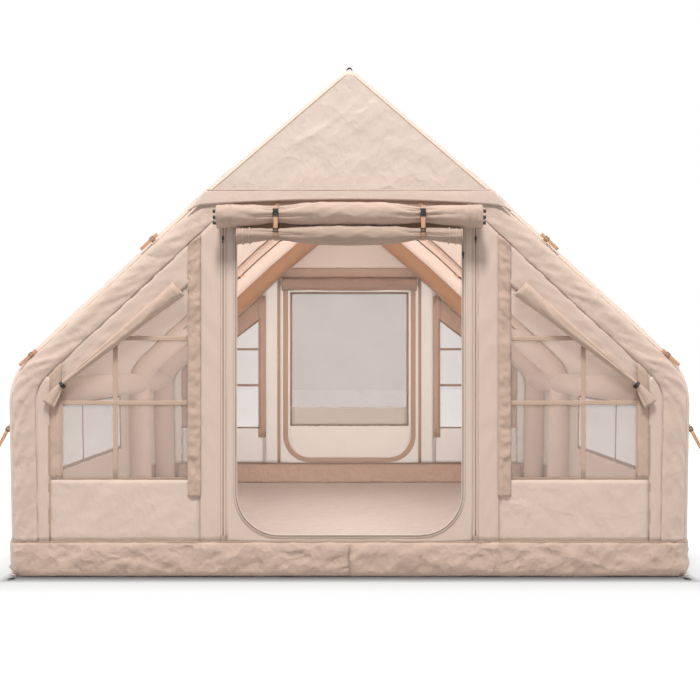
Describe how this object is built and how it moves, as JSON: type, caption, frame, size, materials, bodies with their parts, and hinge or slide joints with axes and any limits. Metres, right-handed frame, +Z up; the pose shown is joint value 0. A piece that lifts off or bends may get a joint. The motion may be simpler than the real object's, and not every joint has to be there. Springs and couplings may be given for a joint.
{
  "type": "inflatable cabin tent",
  "caption": "Inflatable cabin tent: air arches under a canvas envelope, tub groundsheet, rolled-up front door, closed rear door, net windows, guy tabs and stake rings.",
  "frame": {"origin": "on the ground at the middle of the groundsheet's underside", "axes": "+Z up, the front door faces -Y, +X to the right seen from the front"},
  "size_m": [4.2482, 3.8105, 2.987],
  "materials": {
    "canvas": "coated cotton canvas, matt",
    "rolled_canvas": "wound cotton canvas, matt",
    "groundsheet": "heavy coated cloth, matt",
    "air_tube": "taut tube cloth, satin",
    "net": "fine net backed by clear film",
    "webbing": "tan woven webbing",
    "black_webbing": "black woven webbing",
    "black_plastic": "moulded, fine grain",
    "ring_steel": "black wire, satin"
  },
  "bodies": {
    "tent": {"door_surround": "canvas", "front_arch_sleeve": "canvas", "rear_arch_sleeve": "canvas", "gable_hood": "canvas", "rear_wall": "canvas", "rear_door": "canvas", "left_front_wall": "canvas", "left_roof_panel": "canvas", "left_side_wall": "canvas", "right_front_wall": "canvas", "right_roof_panel": "canvas", "right_side_wall": "canvas", "outer_door_roll": "rolled_canvas", "inner_door_roll": "rolled_canvas", "rear_door_roll": "rolled_canvas", "left_flap_roll": "rolled_canvas", "right_flap_roll": "rolled_canvas", "tub_groundsheet": "groundsheet", "front_arch_tube": "air_tube", "middle_arch_tube": "air_tube", "rear_arch_tube": "air_tube", "left_eave_beam_front": "air_tube", "left_eave_beam_rear": "air_tube", "right_eave_beam_front": "air_tube", "right_eave_beam_rear": "air_tube", "rear_door_net": "net", "left_front_window": "net", "left_rear_window": "net", "left_side_window": "net", "right_front_window": "net", "right_rear_window": "net", "right_side_window": "net", "left_door_tie_loop": "webbing", "left_guy_strap": "webbing", "left_guy_tab_upper": "webbing", "left_guy_tab_middle": "webbing", "left_guy_tab_eave": "webbing", "right_door_tie_loop": "webbing", "right_guy_strap": "webbing", "right_guy_tab_upper": "webbing", "right_guy_tab_middle": "webbing", "right_guy_tab_eave": "webbing", "peak_loop": "black_webbing", "left_flap_keeper": "black_webbing", "right_flap_keeper": "black_webbing", "inflation_valve": "black_plastic"},
    "left_tie_plug": {"left_door_tie_buckle": "black_plastic"},
    "right_tie_plug": {"right_door_tie_buckle": "black_plastic"},
    "left_door_zip_slider": {"left_door_zip_slider": "black_plastic"},
    "left_door_zip_pull": {"left_door_zip_slider_pull": "black_plastic"},
    "right_door_zip_slider": {"right_door_zip_slider": "black_plastic"},
    "right_door_zip_pull": {"right_door_zip_slider_pull": "black_plastic"},
    "round_door_zip_slider": {"round_door_zip_slider": "black_plastic"},
    "round_door_zip_pull": {"round_door_zip_slider_pull": "black_plastic"},
    "stake_ring_front_left": {"stake_ring_front_left": "ring_steel"},
    "stake_ring_front_right": {"stake_ring_front_right": "ring_steel"},
    "stake_ring_rear_left": {"stake_ring_rear_left": "ring_steel"},
    "stake_ring_rear_right": {"stake_ring_rear_right": "ring_steel"},
    "valve_cap": {"valve_cap": "black_plastic"}
  },
  "joints": [
    {"name": "left_tie_plug_slide", "type": "slide", "parent": "tent", "child": "left_tie_plug", "axis": [0, 0, -1], "range_m": [0, 0.018]},
    {"name": "right_tie_plug_slide", "type": "slide", "parent": "tent", "child": "right_tie_plug", "axis": [0, 0, -1], "range_m": [0, 0.018]},
    {"name": "left_door_zip_travel", "type": "slide", "parent": "tent", "child": "left_door_zip_slider", "axis": [0, 0, -1], "range_m": [0, 1.66]},
    {"name": "left_door_zip_pull_swing", "type": "hinge", "parent": "left_door_zip_slider", "child": "left_door_zip_pull", "pos_m": [-0.73, -1.8074, 1.96], "axis": [-1, 0, 0], "range_deg": [0, 150]},
    {"name": "right_door_zip_travel", "type": "slide", "parent": "tent", "child": "right_door_zip_slider", "axis": [0, 0, -1], "range_m": [0, 1.66]},
    {"name": "right_door_zip_pull_swing", "type": "hinge", "parent": "right_door_zip_slider", "child": "right_door_zip_pull", "pos_m": [0.73, -1.8074, 1.96], "axis": [-1, 0, 0], "range_deg": [0, 150]},
    {"name": "round_door_zip_travel", "type": "slide", "parent": "tent", "child": "round_door_zip_slider", "axis": [0, 0, -1], "range_m": [0, 1.35]},
    {"name": "round_door_zip_pull_swing", "type": "hinge", "parent": "round_door_zip_slider", "child": "round_door_zip_pull", "pos_m": [0.657, -1.8074, 1.87], "axis": [-1, 0, 0], "range_deg": [0, 150]},
    {"name": "stake_ring_front_left_swing", "type": "hinge", "parent": "tent", "child": "stake_ring_front_left", "pos_m": [-1.932, -1.845, 0.0048], "axis": [-1, 0, 0], "range_deg": [0, 150]},
    {"name": "stake_ring_front_right_swing", "type": "hinge", "parent": "tent", "child": "stake_ring_front_right", "pos_m": [1.932, -1.845, 0.0048], "axis": [-1, 0, 0], "range_deg": [0, 150]},
    {"name": "stake_ring_rear_left_swing", "type": "hinge", "parent": "tent", "child": "stake_ring_rear_left", "pos_m": [-1.932, 1.845, 0.0048], "axis": [1, 0, 0], "range_deg": [0, 150]},
    {"name": "stake_ring_rear_right_swing", "type": "hinge", "parent": "tent", "child": "stake_ring_rear_right", "pos_m": [1.932, 1.845, 0.0048], "axis": [1, 0, 0], "range_deg": [0, 150]},
    {"name": "valve_cap_turn", "type": "hinge", "parent": "tent", "child": "valve_cap", "pos_m": [1.85601, 1.8003, 0.45], "axis": [0, 1, 0], "range_deg": [0, 90]}
  ]
}
